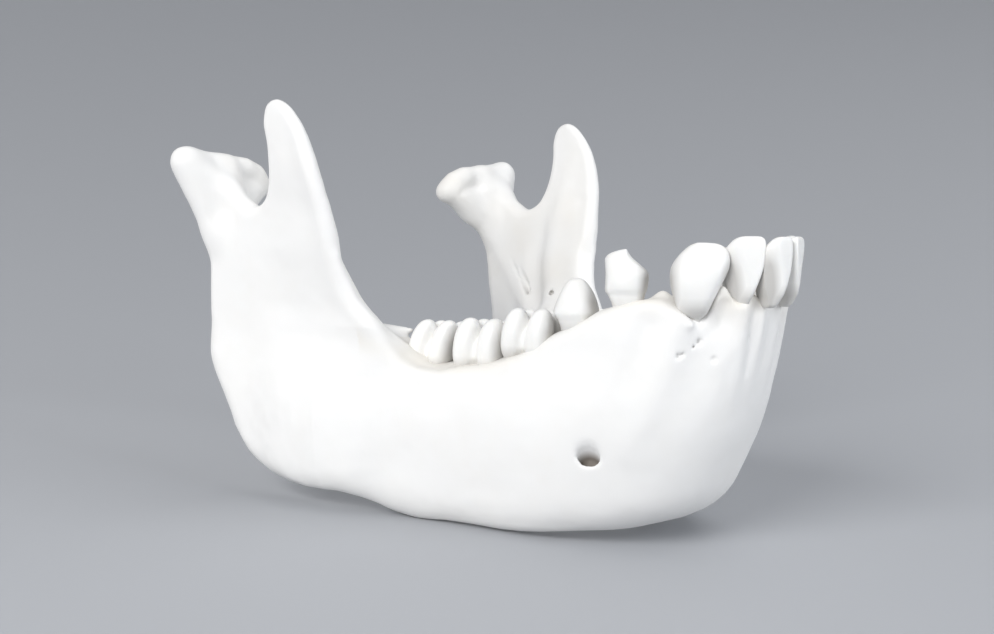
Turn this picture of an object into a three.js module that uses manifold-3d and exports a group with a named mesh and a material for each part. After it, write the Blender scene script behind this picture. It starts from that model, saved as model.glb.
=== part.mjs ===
// The lower jawbone (mandible) of an adult female gorilla with its sixteen teeth, life size.
// Millimetres, +Z up. The incisors point to +X and the animal's left is +Y. The bone rests on its lower border.
import * as THREE from "three";
import { mergeVertices } from "three/addons/utils/BufferGeometryUtils.js";
import Module from "manifold-3d";

// Driving dimensions. x is measured forward from the condyles, y from the midline, z from the lower border.
// Both halves of the bone are alike, so y is the distance from the midline on either side.
// A list of pairs is a smooth profile: a height (or a place along x), then the size there.

// Outer and lingual faces of the body of the jaw, each an arch: how far forward it reaches at the midline,
// where the round front begins, its half width there, and how the sides splay and flare behind that.
const OUTER_ARCH = {
  front: [[-3, 107], [4, 112.5], [14, 118], [24, 122.3], [36, 125.6], [44, 127.3], [52, 128.4]],
  corner: [[0, 78], [24, 88], [50, 95]],
  half: [[0, 32.5], [24, 32.5], [50, 28.8]],
  splay: [[0, 0.3], [24, 0.25], [50, 0.2]],
  flare: [[0, 0.0034], [24, 0.0028], [50, 0.001]],
  roundness: 2.2,
};
const INNER_ARCH = {
  front: [[0, 98], [8, 94], [15, 98.5], [24, 97.5], [32, 103], [42, 113], [52, 121]],
  corner: [[0, 72], [20, 80], [50, 92]],
  half: [[0, 25], [8, 22], [20, 20], [50, 17.5]],
  splay: [[0, 0.36], [15, 0.26], [30, 0.18], [50, 0.13]],
  flare: [[0, 0]],
  roundness: 2,
};
const CREST = [
  [36, 43.5], [43, 42.4], [50, 38.6], [56, 35.8], [63, 35], [72, 35.8], [82, 39], [94, 45.6],
  [104, 50.4], [112, 52], [118, 51], [130, 53],
];
const LOWER_BORDER = [[20, 8.5], [36, 5.4], [48, 1.2], [62, -2.4], [76, -3.7], [96, -2.7], [112, -1]];
const BODY = {
  back: 22,
  crestRound: 4,
  borderRound: 9,
  flankRound: 3,
  hollowStart: 53,
  hollowRate: 0.62,
  ramusFlank: 1.2,
  ramusFlankRound: 5,
};

// Side view outline of a ramus with its two processes, as points of a smooth closed curve.
const RAMUS_OUTLINE = [
  [3.8, 36], [3.3, 45], [2.6, 51], [1.8, 57], [0.8, 64], [-1, 70], [-3, 77], [-2, 82.5], [4, 82],
  [9.2, 78.4], [13.8, 74.2], [17.8, 72.3], [21.8, 74.2], [24, 79], [24.7, 86], [23.8, 94], [27.6, 97.8],
  [34, 94.8], [38.6, 87.5], [41.4, 77], [42.2, 68], [42.4, 58.5], [44.6, 51], [50, 44.2], [52, 34],
  [50, 18], [45, 7], [37, 5], [27, 6.2], [16, 11.6], [9.6, 22],
];
const RAMUS = {
  side: [[0, 52.6], [20, 54], [45, 53], [60, 52.4], [72, 51.6], [84, 53.4], [97, 56]],
  taper: [[0, 0.24], [20, 0.25], [40, 0.27], [52, 0.175], [65, 0.04], [78, -0.045], [97, 0]],
  taperStart: 5,
  halfThick: [[0, 4], [20, 4.5], [45, 4.1], [60, 3.5], [74, 2.7], [97, 2.2]],
  diveStart: 36,
  diveRate: 0.3,
  diveHeight: 44,
  diveFade: 12,
  blend: 7,
};

// Each condyle is a bar across the jaw, on a neck that widens upwards.
const CONDYLE = {
  bar: [[-0.9, 37.4, 78], [0.9, 47.5, 80.3], [0.2, 59.8, 83]],
  radii: [4.2, 4.2, 3.9],
  neck: [3, 51, 64],
  neckRadius: 3.4,
  neckTops: [[0.6, 58.4, 80], [0.6, 42, 77.6]],
  neckTopRadius: 3.3,
  blend: 4,
};

// A thin spine of bone behind each last molar, on the tongue side.
const SPINE = { root: [39.2, 32.8, 41.3], tip: [45.8, 28.4, 42.4], rootRadius: 2.6, tipRadius: 0.5 };

// Holes for nerves: the middle of each and the radii of its pit.
const MENTAL_HOLE = { at: [98.4, 28.8, 17.4], radii: [3.2, 4, 2.4] };
const MANDIBULAR_HOLE = { at: [19, 49, 44], radii: [2.6, 4.5, 3.6] };

// Teeth of one side, from the last molar to the first incisor: kind, place of the middle, way the tooth faces
// forward along the row, length along the row, width across it, crest of the bone and top of the crown.
const TEETH = [
  { kind: "molar", at: [56.4, 27.8], turn: 5, long: 13.6, wide: 12.4, foot: 34.2, top: 45.6 },
  { kind: "molar", at: [69.6, 26.8], turn: 6, long: 14.2, wide: 12.8, foot: 34.4, top: 46.3 },
  { kind: "molar", at: [83, 25.8], turn: 8, long: 13.4, wide: 12, foot: 37.6, top: 49.4 },
  { kind: "rearPremolar", at: [92.7, 24.4], turn: 12, long: 10.6, wide: 11, foot: 44.6, top: 56 },
  { kind: "frontPremolar", at: [104.6, 21.8], turn: 20, long: 10.4, wide: 8.6, foot: 48.4, top: 62.9 },
  { kind: "canine", at: [119, 15.7], turn: 38, long: 13.4, wide: 9.4, foot: 48.2, top: 64 },
  { kind: "incisor", at: [126.5, 9.9], turn: 54, long: 9.4, wide: 7.6, foot: 51.4, top: 65.8 },
  { kind: "incisor", at: [130.5, 3.7], turn: 80, long: 7.4, wide: 7, foot: 52, top: 65.9 },
];

// Crowns as round lobes that meet in soft grooves, in the tooth's own frame: forward along the row, outward to the
// cheek or lip, and up from the crest of the bone. Middles and radii are shares of the tooth's length, width and
// height. A lobe is repeated on the other side of the middle along each axis in its mirrored list. The lowest
// lobes are the tops of the roots, which run into the bone. The lean is how far the crown leans forward.
const CROWNS = {
  molar: {
    groove: 1,
    lean: 0,
    lobes: [
      { middle: [0, 0, 0.36], radii: [0.42, 0.42, 0.5], mirrored: [] },
      { middle: [0.245, 0.22, 0.46], radii: [0.265, 0.29, 0.55], mirrored: [0, 1] },
      { middle: [0.23, 0, 0], radii: [0.2, 0.38, 0.44], mirrored: [0] },
    ],
  },
  rearPremolar: {
    groove: 1.4,
    lean: 0,
    lobes: [
      { middle: [0, 0, 0.56], radii: [0.44, 0.44, 0.45], mirrored: [] },
      { middle: [0.25, 0.05, 0.14], radii: [0.24, 0.42, 0.42], mirrored: [0] },
    ],
  },
  frontPremolar: {
    groove: 2,
    lean: 0,
    lobes: [
      { middle: [0, 0, 0.48], radii: [0.46, 0.48, 0.34], mirrored: [] },
      { middle: [-0.24, 0, 0.68], radii: [0.27, 0.32, 0.24], mirrored: [] },
      { middle: [-0.04, 0, 0.74], radii: [0.24, 0.26, 0.26], mirrored: [] },
      { middle: [0, 0, 0], radii: [0.36, 0.4, 0.45], mirrored: [] },
    ],
  },
  canine: {
    groove: 2,
    lean: 0.12,
    lobes: [
      { middle: [0, 0, 0.54], radii: [0.5, 0.5, 0.46], mirrored: [] },
      { middle: [0, -0.16, 0], radii: [0.3, 0.3, 0.32], mirrored: [] },
      { middle: [-0.36, -0.2, 0.26], radii: [0.2, 0.24, 0.16], mirrored: [] },
    ],
  },
};

// Incisors: half length at the neck and at the edge, half thickness there, how far towards the lip the middle
// lies, all as shares of the length or width over the height, and the roundness of the corners.
const INCISOR = {
  halfLong: [[-0.35, 0.2], [0, 0.3], [0.55, 0.46], [1, 0.5]],
  halfWide: [[-0.35, 0.24], [0, 0.4], [1, 0.15]],
  lipward: [[-0.35, -0.42], [0, -0.2], [1, 0.28]],
  round: 2.4,
  edgeRound: 1.4,
  rootDepth: 5,
};

// Thin gaps that part the bone into its named pieces.
const GAP = 0.3;
const RAMUS_CUT = { foot: [33, 0], head: [47.5, 46] };
const PROCESS_CUT_HEIGHT = 73.1;

// The bone is turned about the y axis until its weight is over its lower border, then set on z = 0.
const REST_TILT_DEG = 5;

// Size of a cell of the grid that the bone's surface is drawn on.
const CELL = [3.5, 3.1, 3.3];
const GRID_LOW = [-13, -68.2, -9.9];
const GRID_HIGH = [141, 68.2, 105.6];

// How finely the ball that a tooth is made from is divided, and how high in the crown it starts, as a share.
const BALL_DETAIL = 2;
const BALL_HEIGHT = 0.4;

const BONE_COLOUR = 0xeeeae2;
const PROCESS_COLOUR = 0xe9e4da;
const BONE_ROUGHNESS = 0.62;

// Value of a smooth profile at v, held at its ends.
function along(profile, v) {
  const last = profile.length - 1;
  if (v <= profile[0][0]) return profile[0][1];
  if (v >= profile[last][0]) return profile[last][1];
  let i = 0;
  while (v > profile[i + 1][0]) i += 1;
  const slope = (a, b) => (profile[b][1] - profile[a][1]) / (profile[b][0] - profile[a][0]);
  const width = profile[i + 1][0] - profile[i][0];
  const t = (v - profile[i][0]) / width;
  const before = slope(Math.max(i - 1, 0), i + 1) * width;
  const after = slope(i, Math.min(i + 2, last)) * width;
  const rise = profile[i + 1][1] - profile[i][1];
  return profile[i][1] + t * (before + t * (3 * rise - 2 * before - after + t * (before + after - 2 * rise)));
}

const clamp = (v, low, high) => Math.min(high, Math.max(low, v));

// Joins two fields (negative inside) with a fillet of about the given size.
function join(a, b, size) {
  const near = Math.max(size - Math.abs(a - b), 0) / size;
  return Math.min(a, b) - (near * near * size) / 4;
}

// Keeps what is inside both fields, with a round edge of about the given size.
const keepBoth = (a, b, size) => -join(-a, -b, size);

// Distance to an ellipsoid with the given middle and radii.
function ellipsoid(p, middle, radii) {
  const q = p.map((v, i) => (v - middle[i]) / radii[i]);
  const near = Math.hypot(...q);
  const steep = Math.hypot(q[0] / radii[0], q[1] / radii[1], q[2] / radii[2]);
  return near < 1e-6 ? -Math.min(...radii) : (near * (near - 1)) / steep;
}

// Distance to a round bar from a to b whose radius changes evenly.
function bar(p, a, b, radiusA, radiusB) {
  const run = b.map((v, i) => v - a[i]);
  const off = p.map((v, i) => v - a[i]);
  const dot = run[0] * off[0] + run[1] * off[1] + run[2] * off[2];
  const t = clamp(dot / (run[0] ** 2 + run[1] ** 2 + run[2] ** 2), 0, 1);
  return Math.hypot(...off.map((v, i) => v - t * run[i])) - (radiusA + t * (radiusB - radiusA));
}

// Distance, seen from above, to one face of the body of the jaw at height z: negative on the tongue side.
function archField(arch, x, y, z) {
  const corner = along(arch.corner, z);
  const half = along(arch.half, z);
  const splay = along(arch.splay, z);
  if (x <= corner) {
    const flare = along(arch.flare, z) * (corner - x);
    return (y - half - (splay + flare) * (corner - x)) / Math.hypot(1, splay + 2 * flare);
  }
  const reach = along(arch.front, z) - corner;
  const u = (x - corner) / reach;
  const halfHere = half - splay * (x - corner) * (1 - 0.5 * Math.min(u, 1));
  const power = arch.roundness;
  const v = y / halfHere;
  const q = (u ** power + v ** power) ** (1 / power);
  const steep = Math.hypot(u ** (power - 1) / reach, v ** (power - 1) / halfHere) / q ** (power - 1);
  return (q - 1) / Math.max(steep, 1 / Math.max(half, reach));
}

// How far from the midline the middle of a ramus plate would lie if it ran straight on forward.
function ramusMiddle(x, z) {
  return along(RAMUS.side, z) - along(RAMUS.taper, z) * Math.max(0, x - RAMUS.taperStart);
}

// The body of the jaw: between its two arches, below the crest and above the lower border. Behind, its outer
// face runs on as that of the ramus, and its inner face hollows out.
function bodyField(x, y, z) {
  const freed = Math.max(0, x - RAMUS.diveStart);
  const ramusFace = ramusMiddle(x, z) + along(RAMUS.halfThick, z) + freed - BODY.ramusFlank;
  const outer = keepBoth(archField(OUTER_ARCH, x, y, z), y - ramusFace, BODY.ramusFlankRound);
  const hollow = BODY.hollowRate * Math.max(0, BODY.hollowStart - x);
  const wall = keepBoth(outer, hollow - archField(INNER_ARCH, x, y, z), BODY.flankRound);
  const low = keepBoth(wall, along(LOWER_BORDER, x) - z, BODY.borderRound);
  const high = keepBoth(low, z - along(CREST, x), BODY.crestRound);
  return keepBoth(high, BODY.back - x, BODY.borderRound);
}

// Side view outline as a fine closed line, for distances.
function outlineLine() {
  const corners = RAMUS_OUTLINE.map(([x, z]) => new THREE.Vector3(x, z, 0));
  const curve = new THREE.CatmullRomCurve3(corners, true, "centripetal");
  const pointsPerCorner = 4;
  return curve.getPoints(pointsPerCorner * corners.length);
}
const OUTLINE_LINE = outlineLine();

// Distance to the side view outline of a ramus, negative inside.
function outlineField(x, z) {
  let nearest = Infinity;
  let inside = false;
  for (let i = 1; i < OUTLINE_LINE.length; i += 1) {
    const a = OUTLINE_LINE[i - 1];
    const b = OUTLINE_LINE[i];
    const runX = b.x - a.x;
    const runZ = b.y - a.y;
    const t = clamp(((x - a.x) * runX + (z - a.y) * runZ) / (runX ** 2 + runZ ** 2), 0, 1);
    nearest = Math.min(nearest, Math.hypot(x - a.x - t * runX, z - a.y - t * runZ));
    if (a.y > z !== b.y > z && x < a.x + ((z - a.y) * runX) / runZ) inside = !inside;
  }
  return inside ? -nearest : nearest;
}

// A ramus: a bent plate with a round rim, whose foot dives under the flank of the body in front.
function ramusField(x, y, z) {
  const low = clamp((RAMUS.diveHeight - z) / RAMUS.diveFade, 0, 1);
  const middle = ramusMiddle(x, z) - RAMUS.diveRate * low * Math.max(0, x - RAMUS.diveStart);
  const half = along(RAMUS.halfThick, z);
  const rim = outlineField(x, z) + half;
  const face = Math.abs(y - middle);
  return Math.hypot(Math.max(rim, 0), face) - half;
}

// A condyle with its neck.
function condyleField(p) {
  const [medial, middle, lateral] = CONDYLE.bar;
  const [medialRadius, middleRadius, lateralRadius] = CONDYLE.radii;
  const inner = bar(p, medial, middle, medialRadius, middleRadius);
  const outer = bar(p, middle, lateral, middleRadius, lateralRadius);
  let field = join(inner, outer, CONDYLE.blend);
  for (const top of CONDYLE.neckTops) {
    const neck = bar(p, CONDYLE.neck, top, CONDYLE.neckRadius, CONDYLE.neckTopRadius);
    field = join(field, neck, CONDYLE.blend);
  }
  return field;
}

// The whole bone without its teeth.
function boneField(x, signedY, z) {
  const y = Math.abs(signedY);
  const p = [x, y, z];
  const ramus = join(ramusField(x, y, z), condyleField(p), CONDYLE.blend);
  return join(bodyField(x, y, z), ramus, RAMUS.blend);
}

// Field on every corner of a grid of cells.
function sampleGrid(field) {
  const count = CELL.map((step, i) => Math.round((GRID_HIGH[i] - GRID_LOW[i]) / step) + 1);
  const place = (i, j, k) => [GRID_LOW[0] + i * CELL[0], GRID_LOW[1] + j * CELL[1], GRID_LOW[2] + k * CELL[2]];
  const index = (i, j, k) => (k * count[1] + j) * count[0] + i;
  const values = new Float32Array(count[0] * count[1] * count[2]);
  for (let k = 0; k < count[2]; k += 1)
    for (let j = 0; j < count[1]; j += 1)
      for (let i = 0; i < count[0]; i += 1) values[index(i, j, k)] = field(...place(i, j, k));
  return { count, place, index, values };
}

// Slope of a field at p.
function slopeOf(field, p) {
  const step = 0.2;
  return p.map((_, axis) => {
    const ahead = p.slice();
    const behind = p.slice();
    ahead[axis] += step;
    behind[axis] -= step;
    return (field(...ahead) - field(...behind)) / (2 * step);
  });
}

// Moves p onto the surface, by no more than a share of a cell.
function settle(field, start) {
  let p = start;
  const rounds = 4;
  for (let round = 0; round < rounds; round += 1) {
    const slope = slopeOf(field, p);
    const steep = slope[0] ** 2 + slope[1] ** 2 + slope[2] ** 2;
    const move = field(...p) / Math.max(steep, 0.2);
    p = p.map((v, i) => v - move * slope[i]);
  }
  const most = 0.5;
  return p.map((v, i) => clamp(v, start[i] - most * CELL[i], start[i] + most * CELL[i]));
}

// Evens out a mesh: each point goes to the middle of its neighbours and back onto the surface.
function relax(field, positions, faces) {
  const sums = new Float64Array(positions.length);
  const counts = new Float64Array(positions.length / 3);
  for (let i = 0; i < faces.length; i += 1) {
    const from = faces[i];
    const to = faces[i % 3 === 2 ? i - 2 : i + 1];
    for (let axis = 0; axis < 3; axis += 1) sums[3 * from + axis] += positions[3 * to + axis];
    counts[from] += 1;
  }
  const evened = [];
  for (let i = 0; i < counts.length; i += 1) {
    const middle = [0, 1, 2].map((axis) => sums[3 * i + axis] / counts[i]);
    evened.push(...settle(field, middle));
  }
  return evened;
}

// Closed surface of a field: one point in each cell that the surface crosses, joined across each crossed edge.
function surfaceOf(field) {
  const { count, place, index, values } = sampleGrid(field);
  const corners = [0, 1, 2, 3, 4, 5, 6, 7].map((c) => [c & 1, (c >> 1) & 1, c >> 2]);
  const edges = [];
  for (let a = 0; a < corners.length; a += 1)
    for (const bit of [1, 2, 4]) if (!(a & bit)) edges.push([a, a | bit]);
  const pointOf = new Map();
  const positions = [];
  for (let k = 0; k < count[2] - 1; k += 1)
    for (let j = 0; j < count[1] - 1; j += 1)
      for (let i = 0; i < count[0] - 1; i += 1) {
        const levels = corners.map(([di, dj, dk]) => values[index(i + di, j + dj, k + dk)]);
        const sum = [0, 0, 0];
        let crossings = 0;
        for (const [a, b] of edges) {
          if (levels[a] < 0 === levels[b] < 0) continue;
          const t = levels[a] / (levels[a] - levels[b]);
          corners[a].forEach((v, axis) => (sum[axis] += v + t * (corners[b][axis] - v)));
          crossings += 1;
        }
        if (!crossings) continue;
        const low = place(i, j, k);
        const middle = sum.map((v, axis) => low[axis] + (v / crossings) * CELL[axis]);
        pointOf.set(index(i, j, k), positions.length / 3);
        positions.push(...settle(field, middle));
      }
  const faces = [];
  const steps = [index(1, 0, 0), index(0, 1, 0), index(0, 0, 1)];
  for (let k = 1; k < count[2] - 1; k += 1)
    for (let j = 1; j < count[1] - 1; j += 1)
      for (let i = 1; i < count[0] - 1; i += 1)
        for (let axis = 0; axis < 3; axis += 1) {
          const here = index(i, j, k);
          const inHere = values[here] < 0;
          if (inHere === values[here + steps[axis]] < 0) continue;
          const u = steps[(axis + 1) % 3];
          const v = steps[(axis + 2) % 3];
          const ring = [here - u - v, here - v, here, here - u].map((cell) => pointOf.get(cell));
          if (!inHere) ring.reverse();
          faces.push(ring[0], ring[1], ring[2], ring[0], ring[2], ring[3]);
        }
  const geometry = new THREE.BufferGeometry();
  const evened = relax(field, relax(field, positions, faces), faces);
  geometry.setAttribute("position", new THREE.Float32BufferAttribute(evened, 3));
  geometry.setIndex(faces);
  return geometry;
}

// Field of a crown made of lobes.
function lobedCrown(p, { groove, lean, lobes }, size) {
  const [long, wide, high] = size;
  const q = [p[0] - lean * (p[2] - high / 2), p[1], p[2]];
  let field = Infinity;
  for (const lobe of lobes) {
    const near = q.map((v, axis) => (lobe.mirrored.includes(axis) ? Math.abs(v) : v));
    const middle = [lobe.middle[0] * long, lobe.middle[1] * wide, lobe.middle[2] * high];
    const radii = [lobe.radii[0] * long, lobe.radii[1] * wide, lobe.radii[2] * high];
    const one = ellipsoid(near, middle, radii);
    field = field === Infinity ? one : join(field, one, groove);
  }
  return field;
}

// Field of an incisor: a blade that is narrow and thick at its neck, and wide and thin at its edge.
function incisorCrown([m, b, h], [long, wide, high]) {
  const rise = h / high;
  const side = Math.abs(m) - long * along(INCISOR.halfLong, rise);
  const face = Math.abs(b - wide * along(INCISOR.lipward, rise)) - wide * along(INCISOR.halfWide, rise);
  const ring = keepBoth(side, face, INCISOR.round);
  return keepBoth(keepBoth(ring, h - high, INCISOR.edgeRound), -h - INCISOR.rootDepth, INCISOR.round);
}

// Distance from the middle of a tooth to its surface along one direction.
function crownReach(field, middle, way) {
  let near = 0;
  let far = 20;
  const rounds = 22;
  for (let round = 0; round < rounds; round += 1) {
    const t = (near + far) / 2;
    const p = middle.map((v, i) => v + t * way[i]);
    if (field(p) < 0) near = t;
    else far = t;
  }
  return near;
}

// One tooth as a closed mesh in its place: a fine ball pushed out or in to the crown's surface.
function toothGeometry(tooth, side) {
  const size = [tooth.long, tooth.wide, tooth.top - tooth.foot];
  const crown = CROWNS[tooth.kind];
  const field = (p) => (crown ? lobedCrown(p, crown, size) : incisorCrown(p, size));
  const middle = [0, 0, size[2] * BALL_HEIGHT];
  const ball = new THREE.IcosahedronGeometry(1, BALL_DETAIL);
  ball.deleteAttribute("normal");
  ball.deleteAttribute("uv");
  const geometry = mergeVertices(ball);
  const spot = geometry.attributes.position;
  const forward = THREE.MathUtils.degToRad(-tooth.turn);
  const turn = [Math.cos(forward), Math.sin(forward)];
  for (let i = 0; i < spot.count; i += 1) {
    const way = new THREE.Vector3().fromBufferAttribute(spot, i);
    way.multiply(new THREE.Vector3(...size)).normalize();
    const reach = crownReach(field, middle, way.toArray());
    const m = reach * way.x;
    const b = reach * way.y;
    const x = tooth.at[0] + m * turn[0] - b * turn[1];
    const y = tooth.at[1] + m * turn[1] + b * turn[0];
    spot.setXYZ(i, x, side * y, tooth.foot + middle[2] + reach * way.z);
  }
  if (side < 0) geometry.setIndex([...geometry.index.array].reverse());
  return geometry;
}

const wasm = await Module();
wasm.setup();

// A geometry as a solid that can be joined and cut.
function solidOf(geometry) {
  const bare = geometry.clone();
  bare.deleteAttribute("normal");
  bare.deleteAttribute("uv");
  const merged = mergeVertices(bare, 1e-4);
  return new wasm.Manifold(
    new wasm.Mesh({
      numProp: 3,
      vertProperties: new Float32Array(merged.attributes.position.array),
      triVerts: new Uint32Array(merged.index.array),
    }),
  );
}

// A solid as a geometry.
function geometryOf(solid) {
  const mesh = solid.getMesh();
  const positions = [];
  for (let i = 0; i < mesh.numVert; i += 1)
    positions.push(...mesh.vertProperties.subarray(i * mesh.numProp, i * mesh.numProp + 3));
  const geometry = new THREE.BufferGeometry();
  geometry.setAttribute("position", new THREE.Float32BufferAttribute(positions, 3));
  geometry.setIndex([...mesh.triVerts]);
  return geometry;
}

// The bone spine behind a last molar, as a thin cone from its root to its tip.
function spineGeometry(side) {
  const root = new THREE.Vector3(...SPINE.root);
  const run = new THREE.Vector3(...SPINE.tip).sub(root);
  const sides = 8;
  const cone = new THREE.CylinderGeometry(SPINE.tipRadius, SPINE.rootRadius, run.length(), sides);
  cone.translate(0, run.length() / 2, 0);
  cone.applyQuaternion(new THREE.Quaternion().setFromUnitVectors(new THREE.Vector3(0, 1, 0), run.clone().normalize()));
  cone.translate(...SPINE.root);
  if (side > 0) return cone;
  cone.scale(1, -1, 1);
  cone.setIndex([...cone.index.array].reverse());
  return cone;
}

// A round-ended pit for a nerve, on one side.
function pitGeometry({ at, radii }, side) {
  const geometry = new THREE.SphereGeometry(1, 10, 8);
  return geometry.scale(...radii).translate(at[0], side * at[1], at[2]);
}

// The thin slab that parts the rami from the body, and the one that parts the processes from the rami.
function cutGeometries() {
  const wide = 200;
  const [footX, footZ] = RAMUS_CUT.foot;
  const [headX, headZ] = RAMUS_CUT.head;
  const length = 4 * Math.hypot(headX - footX, headZ - footZ);
  const lean = Math.atan2(headX - footX, headZ - footZ);
  const rear = new THREE.BoxGeometry(GAP, wide, length).rotateY(lean);
  rear.translate((footX + headX) / 2, 0, (footZ + headZ) / 2);
  const top = new THREE.BoxGeometry(wide, wide, GAP).translate(0, 0, PROCESS_CUT_HEIGHT);
  return [rear, top];
}

// The bone and its teeth as one solid, parted by the thin cuts.
function jawPieces() {
  let jaw = solidOf(surfaceOf(boneField));
  for (const side of [-1, 1]) {
    for (const pit of [MENTAL_HOLE, MANDIBULAR_HOLE]) jaw = jaw.subtract(solidOf(pitGeometry(pit, side)));
    for (const tooth of TEETH) jaw = jaw.add(solidOf(toothGeometry(tooth, side)));
    jaw = jaw.add(solidOf(spineGeometry(side)));
  }
  for (const cut of cutGeometries()) jaw = jaw.subtract(solidOf(cut));
  return jaw.decompose().sort((a, b) => b.volume() - a.volume());
}

// Name of a piece from where its middle lies.
function pieceName(box) {
  const [x, y, z] = [0, 1, 2].map((axis) => (box.min[axis] + box.max[axis]) / 2);
  const side = y < 0 ? "right" : "left";
  const coronoidStart = 15;
  if (box.min[1] < 0 && box.max[1] > 0) return "body_with_teeth";
  if (z < PROCESS_CUT_HEIGHT) return `ramus_${side}`;
  return x > coronoidStart ? `coronoid_process_${side}` : `condylar_process_${side}`;
}

// Every named piece as a mesh. The largest piece with a name is kept, and loose scraps are left out.
function jawGroup() {
  const group = new THREE.Group();
  for (const piece of jawPieces()) {
    const name = pieceName(piece.boundingBox());
    if (group.getObjectByName(name)) continue;
    const colour = name.includes("process") ? PROCESS_COLOUR : BONE_COLOUR;
    const finish = new THREE.MeshStandardMaterial({ color: colour, roughness: BONE_ROUGHNESS, metalness: 0 });
    const mesh = new THREE.Mesh(geometryOf(piece), finish);
    mesh.name = name;
    group.add(mesh);
  }
  return group;
}

// Turns the bone to its resting tilt and puts the origin at the middle of its footprint, on the floor.
function atRest(group) {
  group.rotation.y = THREE.MathUtils.degToRad(-REST_TILT_DEG);
  group.updateMatrixWorld(true);
  const box = new THREE.Box3().setFromObject(group, true);
  const middle = box.getCenter(new THREE.Vector3());
  group.position.set(-middle.x, -middle.y, -box.min.z);
  return group;
}

const jaw = atRest(jawGroup());

export default jaw;
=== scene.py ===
import math

import bmesh
import bpy
import numpy as np
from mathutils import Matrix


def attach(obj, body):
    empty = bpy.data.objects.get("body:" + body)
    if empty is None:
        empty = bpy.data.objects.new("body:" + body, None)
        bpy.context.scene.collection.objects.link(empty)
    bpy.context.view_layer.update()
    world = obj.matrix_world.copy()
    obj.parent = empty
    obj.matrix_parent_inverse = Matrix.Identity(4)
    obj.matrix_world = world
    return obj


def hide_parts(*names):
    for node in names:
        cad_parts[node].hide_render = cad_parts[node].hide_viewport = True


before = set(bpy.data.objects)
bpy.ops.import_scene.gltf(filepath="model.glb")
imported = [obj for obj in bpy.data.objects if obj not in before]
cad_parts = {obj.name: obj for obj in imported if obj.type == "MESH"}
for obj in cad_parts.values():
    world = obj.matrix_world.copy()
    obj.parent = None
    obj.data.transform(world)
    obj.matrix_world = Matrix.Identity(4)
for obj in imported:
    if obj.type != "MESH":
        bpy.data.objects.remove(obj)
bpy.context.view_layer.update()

import openvdb
from mathutils import Matrix, Vector

# A gorilla's lower jawbone, life size: one bone with sixteen teeth, resting on its lower border.
# It is modelled in millimetres in the bone's own frame, x forward from the condyles, y from the midline and
# z up from the lower border, and then set down in the row frame at its resting tilt.
MM = 0.001

# How the bone's own frame is turned and moved as it rests: its front is 5 degrees up.
REST_TILT = math.radians(-5)
REST_PLACE = (-57.85, 0.02, -3.6)

# Where the camera stands in the bone's own frame, how far it is turned and dropped, and its lens.
CAMERA_PLACE = (284.17, -280.78, 68.2)
CAMERA_TURN = math.radians(39.94)
CAMERA_DROP = math.radians(3.75)
CAMERA_LENS = 51.92
CAMERA_SENSOR = 36
CAMERA_NEAR = 0.01

# The body of the jaw stands between an outer and an inner arch, alike on both sides. Each has straight sides
# behind its corner and a round front before it. A profile is a list of rows: a height, or a place along x,
# and then the size there.
OUTER_ARCH = {
    "front": [(-3, 107), (4, 112.5), (14, 118), (24, 122.3), (36, 125.6), (44, 127.3), (52, 128.4)],
    "corner": [(0, 78), (24, 88), (50, 95)],
    "half": [(0, 32.5), (24, 32.5), (50, 28.8)],
    "splay": [(0, 0.3), (24, 0.25), (50, 0.2)],
    "flare": [(0, 0.0034), (24, 0.0028), (50, 0.001)],
    "roundness": 2.2,
}
INNER_ARCH = {
    "front": [(0, 98), (8, 94), (15, 98.5), (24, 97.5), (32, 103), (42, 113), (52, 121)],
    "corner": [(0, 72), (20, 80), (50, 92)],
    "half": [(0, 25), (8, 22), (20, 20), (50, 17.5)],
    "splay": [(0, 0.36), (15, 0.26), (30, 0.18), (50, 0.13)],
    "flare": [(0, 0)],
    "roundness": 2,
}
# The crest that carries the teeth, and the lower border, both seen from the side.
CREST = [
    (36, 43.5), (43, 42.4), (50, 38.6), (56, 35.8), (63, 35), (72, 35.8), (82, 39), (94, 45.6),
    (104, 50.4), (112, 52), (118, 51), (130, 53),
]
LOWER_BORDER = [(20, 8.5), (36, 5.9), (48, -0.1), (62, -2.7), (76, -3.4), (96, -1.9), (112, -0.5)]
# Where the body ends at the rear, inside the ramus, and how round its edges are.
BODY_BACK = 22
CREST_ROUND = 3
BORDER_ROUND = 9
FLANK_ROUND = 3
# From here to the rear the inner face hollows out, and the outer face stays just inside that of the ramus.
HOLLOW_START = 51
HOLLOW_RATE = 0.66
RAMUS_FLANK = 0.3
RAMUS_FLANK_ROUND = 6

# The ramus from the side: its rear edge up to the condyle, the notch, the coronoid process, then the front
# edge down into the body and back along the lower border.
RAMUS_OUTLINE = [
    (4, 36), (3.2, 45), (2.5, 51), (2.1, 57), (1.6, 64), (0, 70), (-1.6, 76), (-1, 80.4), (4, 79.9),
    (9.2, 77.6), (13.8, 74.2), (17.8, 72.2), (21.9, 74), (24.4, 79), (25.3, 86), (25, 92.4), (26.2, 95.8),
    (29, 97), (32.4, 95.6), (36, 91.6), (38.6, 87), (41.5, 77), (42.9, 68), (43.5, 58.5), (45.6, 51.2),
    (50.6, 44.6), (52, 34), (50, 18), (45, 8), (37, 5.8), (27, 5.4), (16, 10.7), (9.8, 22),
]
OUTLINE_STEPS = 6
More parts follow.
